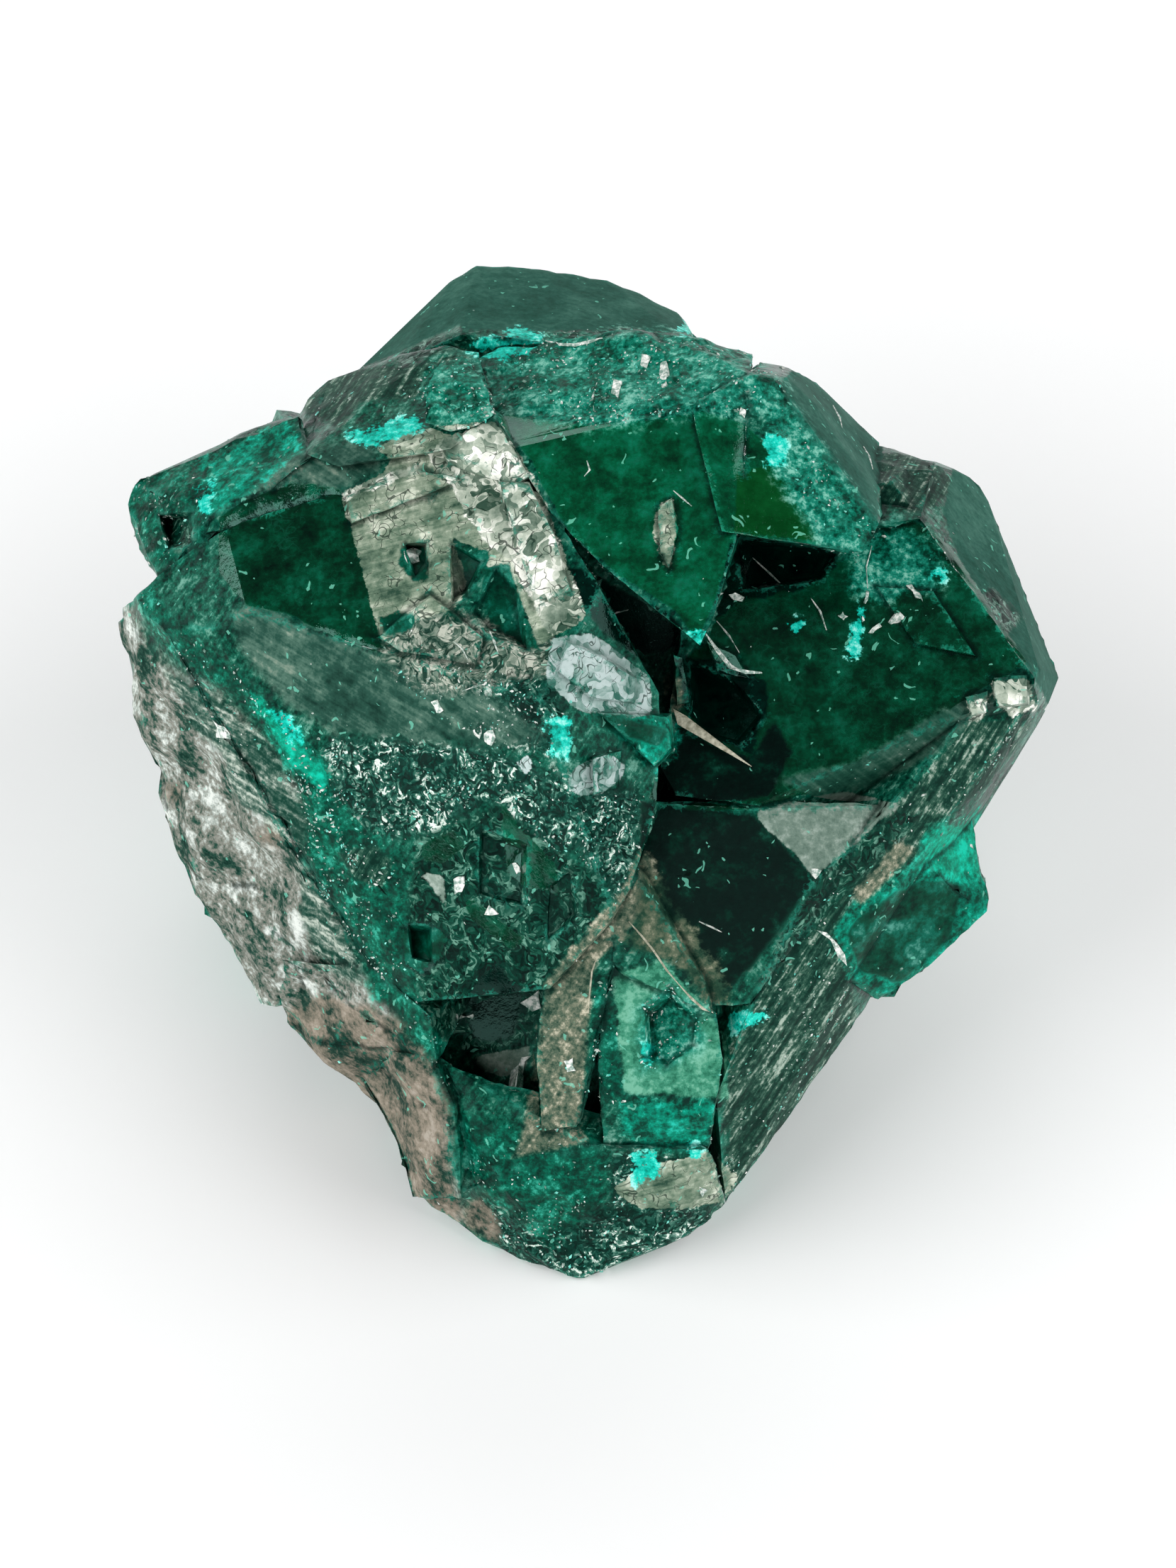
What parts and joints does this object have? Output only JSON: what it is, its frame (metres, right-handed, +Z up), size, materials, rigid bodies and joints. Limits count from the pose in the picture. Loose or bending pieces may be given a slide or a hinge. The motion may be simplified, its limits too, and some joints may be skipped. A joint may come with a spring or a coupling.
{
  "type": "dioptase crystal cluster",
  "caption": "Broken cluster of intergrown dioptase crystals, deep emerald green with flat cleavage faces, a rough side and a flat underside to rest on.",
  "frame": {"origin": "middle of the bounding box, on the surface it rests on", "axes": "+Z up, +Y from the side the picture shows towards the back, +X to the right as the picture shows it"},
  "size_m": [0.028, 0.0282, 0.0207],
  "materials": {
    "dioptase": "glassy on its flat faces, dull where it is broken"
  },
  "bodies": {
    "root": {"dioptase_cluster": "dioptase"}
  },
  "joints": []
}
